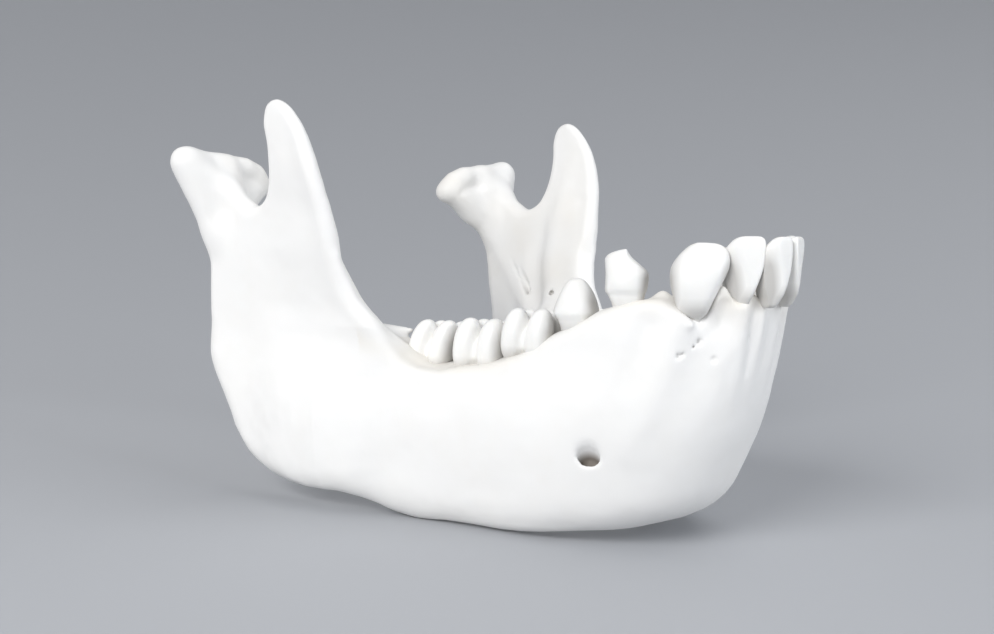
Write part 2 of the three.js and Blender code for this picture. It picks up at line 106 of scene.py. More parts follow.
# By height: how far its middle stands from the midline at the rear, how fast it nears the midline towards
# the front, and half its thickness. Below a height, its foot dives inward towards the front.
RAMUS_SIDE = [(0, 52.6), (20, 54), (45, 53.2), (60, 52.5), (72, 51.8), (84, 53.2), (97, 55.8)]
RAMUS_TAPER = [
    (0, 0.24), (20, 0.25), (40, 0.27), (52, 0.175), (65, 0.04), (78, -0.05), (88, -0.052), (97, -0.01),
]
RAMUS_TAPER_START = 5
RAMUS_HALF_THICK = [(0, 4), (20, 4.5), (45, 4.1), (60, 3.5), (74, 2.7), (88, 1.9), (97, 1.3)]
RAMUS_DIVE = {"start": 36, "rate": 0.3, "height": 44, "fade": 12}
RAMUS_BLEND = 7

# The condyle: a round bar through these points from its inner to its outer end, made deeper along x, and the
# flat triangles with round edges that make up its neck.
CONDYLE_LINE = [(-1, 36.5, 77.4), (0.2, 38.8, 80.3), (0.6, 42.4, 81.6), (0.8, 51, 82.6), (0.2, 61.2, 84.2)]
CONDYLE_RADII = (2.9, 3.1, 3.1, 2.9, 1.7)
CONDYLE_DEPTH = 1.05
CONDYLE_FANS = [
    ((-0.2, 37.8, 78), (0.6, 60.2, 83), (4.6, 53.8, 66.5)),
    ((0.6, 60.2, 83), (6.6, 53, 75.4), (5.4, 53.4, 63)),
    ((1.4, 49, 81.4), (4.4, 48.8, 77.4), (5.5, 51.4, 66)),
    ((1.4, 49, 81.4), (1.2, 58.6, 82.3), (5.4, 53, 76.4)),
    ((-0.2, 37.8, 78), (1.6, 45, 71.2), (4.6, 53.8, 66.5)),
]
CONDYLE_FAN_RADIUS = 2.7
CONDYLE_BLEND = 3.6
CONDYLE_ROUND = 1.2

# Teeth of one side, from the last molar to the first incisor. The place is seen from above, the turn is in
# degrees, the spans are the length and width, the heights are those of foot and top, and the lean is how far
# the crown leans forward as it rises.
TOOTH_COLUMNS = ("kind", "place", "turn", "spans", "heights", "lean")
TEETH = {
    "molar_3": ("molar", (55.9, 27.8), 5, (13, 12.4), (34.2, 45.4), 0.28),
    "molar_2": ("molar", (69, 26.8), 6, (14, 12.8), (34.4, 46.3), 0.14),
    "molar_1": ("molar", (82.1, 25.8), 8, (13.2, 12), (37.6, 49), 0.14),
    "premolar_4": ("rear_premolar", (92.7, 24.4), 12, (10.6, 11), (44.2, 56), 0.04),
    "premolar_3": ("front_premolar", (104.3, 21.9), 20, (10.4, 8.6), (48.4, 62.5), 0),
    "canine": ("canine", (119.2, 16), 38, (13.4, 9.4), (48, 64), 0),
    "incisor_2": ("incisor", (125.5, 8.7), 53, (9.4, 7.6), (51, 65.4), 0),
    "incisor_1": ("incisor", (130.5, 3.7), 80, (7.4, 7), (51.4, 65.3), 0),
}

# A molar as round lobes that meet in soft grooves, in the tooth's own frame. Middles and radii are shares of
# the tooth's length, width and height, and a mirrored axis repeats the lobe on its other side.
MOLAR_LOBES = [
    ((0, 0, 0.33), (0.42, 0.38, 0.36), ()),
    ((0.24, 0.22, 0.46), (0.23, 0.28, 0.54), (0,)),
    ((0.24, -0.22, 0.43), (0.22, 0.26, 0.52), (0,)),
    ((-0.4, 0.04, 0.42), (0.13, 0.2, 0.4), ()),
    ((0.22, 0.1, 0), (0.18, 0.24, 0.4), (0,)),
]
MOLAR_POWER = 2.2
MOLAR_GROOVE = 0.6
# The share of the height at which a leaning crown stands over its place.
LEAN_HEIGHT = 0.85
# The fork between a molar's two roots, on its outer and its inner side.
FORK_MIDDLE = (0, 0.48, 0.04)
FORK_RADII = (0.09, 0.22, 0.16)
FORK_ROUND = 0.6

# The premolars and the canine by their profiles: how far each side reaches at a share of the height, as
# shares of the tooth's length (mesial and distal) and width (lip and tongue).
PROFILES = {
    "rear_premolar": {
        "mesial": [
            (-0.2, 0.28), (0, 0.3), (0.2, 0.38), (0.35, 0.46), (0.6, 0.4), (0.78, 0.32), (0.92, 0.21),
            (0.98, 0.12), (1, 0.04),
        ],
        "distal": [
            (-0.2, 0.28), (0, 0.3), (0.2, 0.38), (0.35, 0.48), (0.6, 0.39), (0.78, 0.3), (0.92, 0.2),
            (0.98, 0.12), (1, 0.04),
        ],
        "lip": [
            (-0.2, 0.32), (0, 0.35), (0.2, 0.39), (0.35, 0.45), (0.6, 0.4), (0.8, 0.28), (0.95, 0.15),
            (1, 0.04),
        ],
        "tongue": [
            (-0.2, 0.34), (0, 0.36), (0.2, 0.41), (0.4, 0.47), (0.6, 0.42), (0.8, 0.26), (0.95, 0.12),
            (1, 0.04),
        ],
    },
    "front_premolar": {
        "mesial": [
            (-0.2, 0.36), (0, 0.38), (0.15, 0.37), (0.28, 0.4), (0.36, 0.44), (0.48, 0.47), (0.62, 0.475),
            (0.69, 0.41), (0.77, 0.28), (0.87, 0.12), (0.95, 0.04), (1, 0.01),
        ],
        "distal": [
            (-0.2, 0.22), (0, 0.25), (0.15, 0.3), (0.28, 0.38), (0.34, 0.44), (0.46, 0.44), (0.62, 0.435),
            (0.77, 0.45), (0.86, 0.45), (0.93, 0.36), (0.98, 0.18), (1, 0.05),
        ],
        "lip": [
            (-0.2, 0.28), (0, 0.3), (0.28, 0.38), (0.4, 0.47), (0.6, 0.47), (0.8, 0.36), (0.95, 0.14),
            (1, 0.03),
        ],
        "tongue": [
            (-0.2, 0.28), (0, 0.3), (0.28, 0.38), (0.4, 0.46), (0.6, 0.43), (0.8, 0.28), (0.95, 0.1),
            (1, 0.03),
        ],
    },
    "canine": {
        "mesial": [
            (-0.3, 0.02), (-0.06, 0.02), (0, 0.08), (0.03, 0.12), (0.1, 0.17), (0.2, 0.225), (0.4, 0.343),
            (0.6, 0.459), (0.7, 0.492), (0.8, 0.495), (0.89, 0.46), (0.955, 0.38), (0.99, 0.26), (1, 0.12),
        ],
        "distal": [
            (-0.3, 0.04), (-0.06, 0.08), (0, 0.24), (0.03, 0.3), (0.08, 0.345), (0.2, 0.385), (0.4, 0.45),
            (0.5, 0.464), (0.6, 0.462), (0.7, 0.43), (0.8, 0.351), (0.9, 0.24), (0.965, 0.14),
            (0.992, 0.06), (1, 0.03),
        ],
        "lip": [
            (-0.3, 0.02), (-0.05, 0.03), (0.02, 0.2), (0.15, 0.36), (0.4, 0.47), (0.7, 0.44), (0.88, 0.3),
            (0.96, 0.16), (1, 0.05),
        ],
        "tongue": [(-0.3, 0.3), (0, 0.36), (0.2, 0.48), (0.4, 0.46), (0.7, 0.3), (0.88, 0.16), (1, 0.04)],
    },
}
PROFILE_POWER = 2.2
# A crown reaches at least this far to each side, and its root goes this far below its foot.
LEAST_REACH = 0.02
ROOT_DEPTH = 2.4

# An incisor: its lip face is narrower than its middle, so that each side face looks a little to the front,
# and behind the middle it narrows again.
INCISOR = {
    "lip": [(-0.15, 0.04), (0, 0.24), (0.1, 0.33), (0.3, 0.38), (0.7, 0.4), (1, 0.38)],
    "tongue": [(-0.15, 0.5), (0, 0.55), (0.3, 0.5), (0.7, 0.18), (1, -0.14)],
    "mesial_front": [
        (-0.15, 0.06), (0, 0.12), (0.2, 0.25), (0.5, 0.42), (0.8, 0.49), (0.93, 0.48), (1, 0.42),
    ],
    "mesial_rear": [
        (-0.15, 0.14), (0, 0.2), (0.2, 0.31), (0.5, 0.44), (0.8, 0.5), (0.93, 0.48), (1, 0.42),
    ],
    "distal_front": [
        (-0.15, -0.1), (0, -0.08), (0.2, -0.06), (0.5, 0.04), (0.8, 0.24), (0.93, 0.26), (1, 0.15),
    ],
    "distal_rear": [
        (-0.15, 0.18), (0, 0.24), (0.2, 0.36), (0.5, 0.44), (0.8, 0.42), (0.93, 0.31), (1, 0.15),
    ],
}
INCISOR_TAPER = 0.12
INCISOR_ROUND = 1.1
INCISOR_EDGE_ROUND = 0.9
INCISOR_ROOT_DEPTH = 1.8

# A tooth is a fine ball, with its middle at a share of the height, pushed out to the crown's surface. A
# search finds that surface by halving its reach.
BALL_FINENESS = 6
BALL_HEIGHT = 0.4
SEARCH_REACH = 20.0
SEARCH_STEPS = 24

# The peaks of the crest between two teeth and its dips at their sockets: the place seen from above, how wide
# it is, and its height or depth.
SEPTA = [
    ((63, 27.3), 4, 1.2), ((76.3, 26.3), 4, 1.3), ((88, 25.2), 3.5, 1.4), ((98.8, 23.2), 3, 1),
    ((110.6, 17), 2.1, 1.7), ((123.6, 13.4), 2.6, 4.2), ((128.4, 7.2), 2, 3.4), ((130.4, 0), 1.8, 2.4),
]
SOCKETS = [((119.4, 17.6), 3.7, 3.7), ((126.8, 10.4), 2.4, 1.2), ((130.4, 3.8), 1.9, 0.8)]

# Strokes that raise the surface (a height over 0) or sink it along a path, on both sides of the bone:
# the path, how wide the stroke is, and its height at the start and at the end of the path. A stroke ends at
# this many widths from its path.
STROKE_REACH = 2.6
STROKES = [
    # root ridges of the canine, the two incisors and the front premolar
    (
        [(117.6, 19.8, 46.8), (115.6, 21, 40.9), (113.8, 21.8, 34.4), (111, 23, 27), (107, 25, 18)],
        3, 1.3, 0.3,
    ),
    ([(126.6, 9.4, 49.5), (125.7, 8.8, 42.9), (124.5, 8.3, 36.2), (123.1, 7.6, 27)], 1.8, 0.9, 0.1),
    ([(128.9, 3.5, 49.5), (127.2, 3.3, 41), (125.4, 3.1, 31)], 1.5, 0.8, 0.1),
    ([(105, 24.5, 45), (103.5, 26.5, 36), (102.5, 28, 28)], 3, 0.6, 0.1),
    # hollows and furrows between those roots
    ([(122.6, 14.4, 46.5), (121.2, 15.6, 41), (119.8, 16.4, 35), (118, 17.5, 28)], 4, -1.8, -0.4),
    ([(124.2, 13, 50.5), (122.8, 13.4, 45)], 1.4, -0.7, -0.5),
    ([(128, 6.2, 50), (126.8, 6.5, 46), (126, 6, 41), (125.2, 5.9, 35)], 0.7, -1.2, -0.3),
    ([(129.6, 0, 51), (127.6, 0, 43), (125.9, 0, 36)], 0.8, -0.9, -0.1),
    ([(110.5, 22.6, 46), (109, 23.6, 40), (107.5, 25.4, 33)], 3, -0.6, -0.2),
    # the rim of the canine's socket, and the low rim beside the cheek teeth
    (
        [(114.2, 18.6, 49.4), (116.6, 20, 47), (119.4, 19.3, 46.2), (122, 17, 48), (123.4, 15, 51)],
        0.9, 0.5, 0.4,
    ),
    ([(51, 35.4, 36.2), (60, 34.6, 33.2), (70, 33.6, 33.6), (80, 32.2, 36)], 1.2, 0.35, 0.25),
    # front edge of the ramus: the sharp outer line, and the hollow that runs down from it to the last molar
    (
        [
            (42.8, 50, 60), (43.2, 48.8, 56.1), (45, 47.1, 50.8), (48, 45.9, 45.2), (51.6, 43.2, 39.2),
            (60, 39.5, 33),
        ],
        2, 0.5, 0.2,
    ),
    ([(44, 46, 60), (46.6, 43.5, 52), (49.8, 40.5, 45), (54, 37.8, 38.5), (62, 36, 35.5)], 2.8, -2, -0.8),
    # outer face of the ramus: a soft ridge down from the coronoid process, with a shallow groove before it
    ([(28, 57.8, 92), (29.5, 57, 80), (30.5, 56, 70), (31.5, 54.5, 58), (33, 53, 46)], 4, 0.15, 0.1),
    (
        [(33.2, 57.4, 88), (35.4, 56.9, 80), (37, 55.3, 71), (38.2, 53.8, 62), (39, 51.8, 51)],
        3, -0.3, -0.25,
    ),
    # inner face of the ramus: the neck's crest, the slit above the nerve hole, the deep hollow, the ridge
    # before it, and a faint groove before that
    ([(0.6, 43, 70), (5, 46, 64), (11, 47.6, 57), (17, 46.5, 50), (23, 44, 43)], 3, 0.5, 0.6),
    ([(15, 48, 57.5), (16.6, 47.5, 54.9), (19.9, 46.8, 50.9), (22.5, 45.8, 47.5)], 0.55, -0.25, -1.1),
    (
        [(26.6, 50, 73), (25.3, 48.5, 65), (24.2, 46.9, 58.9), (24.9, 45.2, 51.7), (27.3, 42.3, 44)],
        3, -0.5, -2.6,
    ),
    ([(33, 52, 90), (31, 50, 78), (29.4, 48, 66), (30, 45.8, 57.6), (32.6, 43, 49)], 3.6, 0.4, 1.1),
    ([(38.5, 51, 74), (39.5, 49, 66), (40.4, 47, 56)], 2.4, -0.4, -0.3),
    # line for the floor of the mouth, on the inner face of the body
    ([(50, 30, 29), (64, 24, 24), (78, 20.5, 18), (90, 16, 13)], 1.8, 0.7, 0.2),
    # hollow on the front of the condyle, and a slit beside the crest of its neck
    ([(3.8, 38, 77.2), (4.2, 41, 78.6), (4.4, 46, 79)], 0.9, -0.35, -0.2),
    ([(6.4, 42.6, 76.6), (7.4, 44.6, 73.6)], 0.5, -0.7, -0.5),
    # outer angle of the jaw, where the chewing muscle held on
    ([(12, 56, 18), (22, 57, 12), (32, 55, 9)], 3, 0.35, 0.2),
]

# Lumps all over the bone: how large they are, how high, and the seed.
LUMPS = [(17, 0.3, 3), (7, 0.13, 5), (2.6, 0.05, 8)]

# Small holes, each on its own side of the bone: the middle and the radius.
PITS = [
    ((119.4, -16.2, 42.6), 0.65), ((118.5, -17.1, 41.6), 0.5), ((116.6, -20.1, 39.6), 0.6),
    ((117.3, -19.2, 40), 0.45), ((121.8, -13.6, 38.7), 0.7), ((124, -12.9, 49.6), 0.5),
    ((126.4, -6.6, 43), 0.6), ((119.4, 16.8, 41), 0.7), ((117.6, 19.8, 38.4), 0.6),
    ((122.4, 14.2, 37), 0.6), ((34, 42.9, 48), 1.1), ((98.6, 0, 15), 1.7), ((99, 0, 9), 0.9),
]
PIT_ROUND = 0.5
# Nerve holes of one side, at the chin and inside the ramus: a way in from outside to inside, its radius, the
# way in which it is wider and by how many times, and its lip's roundness.
NERVE_HOLES = [
    {
        "outside": (99.5, 30.4, 20.5), "inside": (97, 24.2, 13), "radius": 1.3,
        "wide_way": (0.928, -0.374, 0), "wider": 2, "round": 0.9,
    },
    {
        "outside": (18.2, 46, 56), "inside": (24.6, 47.2, 44.5), "radius": 0.8,
        "wide_way": (1, 0, 0), "wider": 1, "round": 0.4,
    },
]
# Rough patches: the middle along x and z, the reach there, the grain's size along each axis and its height.
ROUGH_PATCHES = [
    {"middle": (22, 16), "reach": (14, 12), "grain": (1.9, 3, 3.75), "height": 0.14, "seed": 11},
    {"middle": (122, 43), "reach": (7, 8), "grain": (1.7, 1.7, 3.4), "height": 0.17, "seed": 12},
]
# Smooth noise repeats after this many lumps, and starts far enough out for every place to be positive.
NOISE_CELLS = 32
NOISE_START = 1000
# The spine of bone behind the last molar.
SPINE = {"outside": (39.2, 32.8, 41.3), "inside": (45.8, 28.4, 42.4), "radii": (2.6, 0.5), "blend": 2}

# The grid on which the bone's surface is drawn, for one side, and how far relief reaches from the surface.
CELL = 0.5
GRID_LOW = (-12, 0, -9)
GRID_HIGH = (138, 68, 104)
BAND = 4
# The least divisor.
TINY = 1e-6

# Painted shade darkens the bone in its holes, from this depth under the plain surface on.
HOLE_SHADE_START = 1.7
HOLE_SHADE_FADE = 1.6
# Warm stains beside the crest under the teeth and in faint clouds with specks, and a warm painted shade high
# on the inner face of the ramus.
STAIN_SOCKETS = {"reach": 2.6, "back": 46, "strength": 0.45}
PAINTED_SHADE_INNER = {"depth": 4, "foot": 44, "fade": 10, "strength": 0.35}
STAIN_CLOUD = {"size": 9, "seed": 21, "strength": 0.12}
STAIN_SPECK = {"size": 2.2, "seed": 22}
# Grey on a tooth, in shares of its height, length and width: at its root, and painted shade on its sides
# beyond an edge, where the teeth shade each other.
SHADE_ROOT = {"top": 0.26, "fade": 0.2, "strength": 0.7}
PAINTED_SHADE_SIDE = {"edge": 0.2, "outward": 0.3, "incisor": 0.03, "fade": 0.2, "top": 0.95, "top_fade": 0.4}

# Looks: clouds and grain are noises with a scale and a detail. A bump has a strength and a depth in metres.
SPECULAR_LEVEL = 0.4
COAT_ROUGHNESS = 0.35
# In the bone, the hole colour is painted shade inside the holes.
# The bone's stain colour also serves as the painted shade high on the inner face of the ramus.
BONE = {
    "roughness": 0.55, "coat": 0.04, "dull": (0.82, 0.815, 0.8), "pale": (0.86, 0.85, 0.83),
    "stain_and_shade": (0.74, 0.69, 0.6), "hole": (0.3, 0.27, 0.24), "clouds": (60, 4), "grain": (900, 5),
    "bump": (0.12, 0.00012),
}
# The enamel's root colour greys a tooth at its root and is also the painted shade on its sides that face its
# neighbours.
ENAMEL = {
    "roughness": 0.34, "coat": 0.15, "dull": (0.83, 0.82, 0.79), "pale": (0.87, 0.865, 0.845),
    "root": (0.53, 0.515, 0.49), "clouds": (220, 3), "grain": (1200, 3), "bump": (0.08, 0.00008),
    "subsurface": 0.05, "subsurface_reach": (0.0012, 0.0009, 0.0006),
}

# The stage, in metres: a floor that is flat near the bone and swept up beyond, soft lights and a pale room.
FLOOR = {"flat": 0.2, "step": 0.045, "rings": 60, "corners": 96, "sweep": 0.28}
FLOOR_COLOUR = (0.42, 0.43, 0.45)
FLOOR_ROUGHNESS = 0.85
LIGHT_AIM = (0, 0, 0.04)
LIGHTS = {
    "key": {"place": (0.15, -1.1, 0.62), "size": 0.6, "power": 12.4, "colour": (1, 1, 1)},
    "fill": {"place": (0.95, 0.3, 0.3), "size": 0.7, "power": 7.5, "colour": (0.93, 0.96, 1)},
    "top": {"place": (0.1, 0.5, 1), "size": 0.9, "power": 2.5, "colour": (1, 1, 1)},
}
ROOM_COLOUR = (0.86, 0.88, 0.92)
ROOM_STRENGTH = 0.48
# The sockets of a mix node that take and give colours.
MIX_LOW = 6
MIX_HIGH = 7
MIX_RESULT = 2


def along(profile, v):
    """Value of a smooth profile at v, held at its ends."""
    places = np.array([row[0] for row in profile], float)
    sizes = np.array([row[1] for row in profile], float)
    if len(profile) == 1:
        return np.full(np.shape(v), sizes[0])
    last = len(profile) - 1
    v = np.clip(v, places[0], places[-1])
    i = np.clip(np.searchsorted(places, v, side="right") - 1, 0, last - 1)
    behind = np.maximum(i - 1, 0)
    ahead = np.minimum(i + 2, last)
    width = places[i + 1] - places[i]
    t = (v - places[i]) / width
    before = (sizes[i + 1] - sizes[behind]) / (places[i + 1] - places[behind]) * width
    after = (sizes[ahead] - sizes[i]) / (places[ahead] - places[i]) * width
    rise = sizes[i + 1] - sizes[i]
    return sizes[i] + t * (before + t * (3 * rise - 2 * before - after + t * (before + after - 2 * rise)))


def join(a, b, size):
    """Joins two fields, negative inside, with a fillet of about the given size."""
    near = np.maximum(size - np.abs(a - b), 0) / size
    return np.minimum(a, b) - near * near * size / 4


def keep_both(a, b, size):
    """Keeps what is inside both fields, with a round edge of about the given size."""
    return -join(-a, -b, size)


def ellipsoid(p, middle, radii):
    """Distance to an ellipsoid."""
    q = [(p[i] - middle[i]) / radii[i] for i in range(3)]
    near = np.sqrt(q[0] ** 2 + q[1] ** 2 + q[2] ** 2)
    steep = np.sqrt((q[0] / radii[0]) ** 2 + (q[1] / radii[1]) ** 2 + (q[2] / radii[2]) ** 2)
    return near * (near - 1) / np.maximum(steep, TINY)


def block(p, middle, radii, power):
    """About the distance to an ellipsoid whose sides are fuller the higher the power."""
    shares = [np.abs((p[i] - middle[i]) / radii[i]) ** power for i in range(3)]
    return (sum(shares) ** (1 / power) - 1) * min(radii)


def along_segment(p, a, b):
    """Distance to the segment from a to b, and the share of it at the nearest point."""
    run = [b[i] - a[i] for i in range(3)]
    off = [p[i] - a[i] for i in range(3)]
    length = run[0] ** 2 + run[1] ** 2 + run[2] ** 2
    t = np.clip((run[0] * off[0] + run[1] * off[1] + run[2] * off[2]) / length, 0, 1)
    return np.sqrt(sum((off[i] - t * run[i]) ** 2 for i in range(3))), t


def bar(p, a, b, radius_a, radius_b):
    """Distance to a round bar whose radius changes evenly."""
    distance, t = along_segment(p, a, b)
    return distance - (radius_a + t * (radius_b - radius_a))


def arch_field(arch, x, y, z):
    """Distance, seen from above, to one face of the body of the jaw at height z."""
    corner = along(arch["corner"], z)
    half = along(arch["half"], z)
    splay = along(arch["splay"], z)
    back = np.maximum(corner - x, 0)
    flare = along(arch["flare"], z) * back
    straight = (y - half - (splay + flare) * back) / np.hypot(1, splay + 2 * flare)
    reach = along(arch["front"], z) - corner
    u = np.maximum(x - corner, TINY) / reach
    half_here = np.maximum(half - splay * (x - corner) * (1 - 0.5 * np.minimum(u, 1)), 1)
    power = arch["roundness"]
    v = np.maximum(y, TINY) / half_here
    q = (u**power + v**power) ** (1 / power)
    steep = np.hypot(u ** (power - 1) / reach, v ** (power - 1) / half_here) / q ** (power - 1)
    round_front = (q - 1) / np.maximum(steep, 1 / np.maximum(half, reach))
    return np.where(x <= corner, straight, round_front)


def crest_rise(x, y):
    """How far the crest stands over its mean line: its peaks between teeth and its dips at the sockets."""
    rise = 0
    for (at_x, at_y), width, height in SEPTA:
        rise = rise + height * np.exp(-((x - at_x) ** 2 + (y - at_y) ** 2) / width**2)
    for (at_x, at_y), width, depth in SOCKETS:
        rise = rise - depth * np.exp(-((x - at_x) ** 2 + (y - at_y) ** 2) / width**2)
    return rise


def ramus_middle(x, z):
    """How far from the midline the middle of a ramus plate would lie if it ran straight on forward."""
    return along(RAMUS_SIDE, z) - along(RAMUS_TAPER, z) * np.maximum(0, x - RAMUS_TAPER_START)


def body_field(x, y, z):
    """The body of the jaw between its two arches, below the crest and above the lower border."""
    ramus_face = ramus_middle(x, z) + along(RAMUS_HALF_THICK, z) - RAMUS_FLANK
    outer = keep_both(arch_field(OUTER_ARCH, x, y, z), y - ramus_face, RAMUS_FLANK_ROUND)
    hollow = HOLLOW_RATE * np.maximum(0, HOLLOW_START - x)
    wall = keep_both(outer, hollow - arch_field(INNER_ARCH, x, y, z), FLANK_ROUND)
    low = keep_both(wall, along(LOWER_BORDER, x) - z, BORDER_ROUND)
    high = keep_both(low, z - along(CREST, x) - crest_rise(x, y), CREST_ROUND)
    return keep_both(high, BODY_BACK - x, BORDER_ROUND)


def outline_line():
    """Side view outline of a ramus as a fine closed line through its points."""
    points = np.array(RAMUS_OUTLINE, float)
    count = len(points)
    line = []
    for i in range(count):
        p0, p1, p2, p3 = (points[(i + k) % count] for k in (-1, 0, 1, 2))
        d0, d1, d2 = (np.sqrt(np.linalg.norm(b - a)) for a, b in ((p0, p1), (p1, p2), (p2, p3)))
        start = ((p1 - p0) / d0 - (p2 - p0) / (d0 + d1) + (p2 - p1) / d1) * d1
        end = ((p2 - p1) / d1 - (p3 - p1) / (d1 + d2) + (p3 - p2) / d2) * d1
        for k in range(OUTLINE_STEPS):
            t = k / OUTLINE_STEPS
            cubic = 2 * (p1 - p2) + start + end
            square = 3 * (p2 - p1) - 2 * start - end
            line.append(p1 + start * t + square * t**2 + cubic * t**3)
    return np.array(line + line[:1])


def outline_field(x, z):
    """Distance to the side view outline of a ramus, negative inside."""
    line = outline_line()
    nearest = np.full(np.broadcast(x, z).shape, np.inf)
    inside = np.zeros(nearest.shape, bool)
    for (ax, az), (bx, bz) in zip(line[:-1], line[1:]):
        run_x, run_z = bx - ax, bz - az
        t = np.clip(((x - ax) * run_x + (z - az) * run_z) / (run_x**2 + run_z**2), 0, 1)
        nearest = np.minimum(nearest, np.hypot(x - ax - t * run_x, z - az - t * run_z))
        if az != bz:
            inside ^= ((az > z) != (bz > z)) & (x < ax + (z - az) * run_x / run_z)
    return np.where(inside, -nearest, nearest)


def ramus_field(x, y, z):
    """A ramus: a bent plate with a round rim, whose foot dives into the body in front."""
    low = np.clip((RAMUS_DIVE["height"] - z) / RAMUS_DIVE["fade"], 0, 1)
    dive = RAMUS_DIVE["rate"] * low * np.maximum(0, x - RAMUS_DIVE["start"])
    half = along(RAMUS_HALF_THICK, z)
    rim = outline_field(x, z) + half
    return np.hypot(np.maximum(rim, 0), np.abs(y - ramus_middle(x, z) + dive)) - half


def fan_distance(p, corners):
    """Distance to a flat triangle."""
    corners = np.array(corners, float)
    edges = np.roll(corners, -1, axis=0) - corners
    normal = np.cross(edges[0], -edges[2])
    normal = normal / np.linalg.norm(normal)
    rim, within = None, True
    for i in range(3):
        distance, _ = along_segment(p, corners[i], corners[(i + 1) % 3])
        rim = distance if rim is None else np.minimum(rim, distance)
        side = np.cross(normal, edges[i])
        within = within & (sum((p[k] - corners[i][k]) * side[k] for k in range(3)) > 0)
    flat = np.abs(sum((p[k] - corners[0][k]) * normal[k] for k in range(3)))
    return np.where(within, flat, rim)


def condyle_field(p):
    """A condyle: its round bar on the rounded triangles of its neck."""
    squeezed = (p[0] / CONDYLE_DEPTH, p[1], p[2])
    field = fan_distance(p, CONDYLE_FANS[0]) - CONDYLE_FAN_RADIUS
    for fan in CONDYLE_FANS[1:]:
        field = join(field, fan_distance(p, fan) - CONDYLE_FAN_RADIUS, CONDYLE_BLEND)
    line = None
    for i in range(len(CONDYLE_LINE) - 1):
        start, end = ((x / CONDYLE_DEPTH, y, z) for x, y, z in CONDYLE_LINE[i:i + 2])
        part = bar(squeezed, start, end, CONDYLE_RADII[i], CONDYLE_RADII[i + 1])
        line = part if line is None else np.minimum(line, part)
    return join(field, line, CONDYLE_ROUND)


def plain_bone(x, y, z):
    """The whole bone of one side without its relief."""
    ramus = join(ramus_field(x, y, z), condyle_field((x, y, z)), CONDYLE_BLEND)
    field = join(body_field(x, y, z), ramus, RAMUS_BLEND)
    spine = bar((x, y, z), SPINE["outside"], SPINE["inside"], *SPINE["radii"])
    return join(field, spine, SPINE["blend"])


def soft_noise(p, size, seed):
    """Smooth noise from -1 to 1 with lumps of about the given size."""
    rng = np.random.default_rng(seed)
    values = rng.uniform(-1, 1, (NOISE_CELLS, NOISE_CELLS, NOISE_CELLS))
    cells, shares = [], []
    for axis in range(3):
        q = p[axis] / size + NOISE_START
        low = np.floor(q)
        t = q - low
        cells.append(low.astype(int))
        shares.append(t * t * (3 - 2 * t))
    total = 0
    for corner in range(8):
        bits = [(corner >> axis) & 1 for axis in range(3)]
        weight = 1
        for axis in range(3):
            weight = weight * (shares[axis] if bits[axis] else 1 - shares[axis])
        index = [(cells[axis] + bits[axis]) % NOISE_CELLS for axis in range(3)]
        total = total + weight * values[index[0], index[1], index[2]]
    return total


def stroke_height(p, path, width, start, end):
    """How far a stroke raises the surface at each point."""
    height = np.zeros(len(p[0]))
    reach = STROKE_REACH * width
    low = np.min(path, axis=0) - reach
    high = np.max(path, axis=0) + reach
    near = np.ones(len(p[0]), bool)
    for axis in range(3):
        near &= (p[axis] > low[axis]) & (p[axis] < high[axis])
    q = [v[near] for v in p]
    best = np.full(len(q[0]), np.inf)
    place = np.zeros(len(q[0]))
    runs = len(path) - 1
    for i in range(runs):
        distance, t = along_segment(q, path[i], path[i + 1])
        closer = distance < best
        best = np.where(closer, distance, best)
        place = np.where(closer, (i + t) / runs, place)
    height[near] = (start + (end - start) * place) * np.exp(-((best / width) ** 2))
    return height


def patch_height(p, patch):
    """How far a rough patch raises the surface at each point."""
    off = [(p[axis] - place) / reach for axis, place, reach in zip((0, 2), patch["middle"], patch["reach"])]
    grain = soft_noise([v / size for v, size in zip(p, patch["grain"])], 1, patch["seed"])
    return patch["height"] * np.exp(-(off[0] ** 2) - off[1] ** 2) * grain


def hole_distance(p, hole):
    """Distance to the middle line of a nerve hole, less in the way in which the hole is wider."""
    aside = sum((v - start) * way for v, start, way in zip(p, hole["outside"], hole["wide_way"]))
    less = aside * (1 - 1 / hole["wider"])
    narrowed = [v - way * less for v, way in zip(p, hole["wide_way"])]
    distance, _ = along_segment(narrowed, hole["outside"], hole["inside"])
    return distance


def relief(p, field):
    """The field with the bone's surface detail, on points near the surface."""
    one_side = (p[0], np.abs(p[1]), p[2])
    for path, width, start, end in STROKES:
        field = field - stroke_height(one_side, path, width, start, end)
    for size, height, seed in LUMPS:
        field = field - height * soft_noise(p, size, seed)
    for patch in ROUGH_PATCHES:
        field = field - patch_height(p, patch)
    for hole in NERVE_HOLES:
        field = keep_both(field, hole["radius"] - hole_distance(one_side, hole), hole["round"])
    for middle, radius in PITS:
        near = np.sqrt(sum((p[i] - middle[i]) ** 2 for i in range(3)))
        field = keep_both(field, radius - near, PIT_ROUND)
    return field


def scaled(shares, size):
    """A size or a place from its shares of a tooth's size."""
    return [share * span for share, span in zip(shares, size)]


def crown_field(p, kind, size, lean):
    """Field of a tooth in its own frame: forward along the row, outward, and up from its foot."""
    if kind == "incisor":
        return incisor_field(p, size)
    if kind == "molar":
        return molar_field((p[0] - lean * (p[2] - LEAN_HEIGHT * size[2]), p[1], p[2]), size)
    return profile_field(p, PROFILES[kind], size)


def molar_field(p, size):
    """A molar: round lobes that meet in grooves, with a fork between its roots on either side."""
    field = None
    for middle, radii, mirrored in MOLAR_LOBES:
        near = [np.abs(p[axis]) if axis in mirrored else p[axis] for axis in range(3)]
        lobe = block(near, scaled(middle, size), scaled(radii, size), MOLAR_POWER)
        field = lobe if field is None else join(field, lobe, MOLAR_GROOVE)
    fork = ellipsoid((p[0], np.abs(p[1]), p[2]), scaled(FORK_MIDDLE, size), scaled(FORK_RADII, size))
    return keep_both(field, -fork, FORK_ROUND)


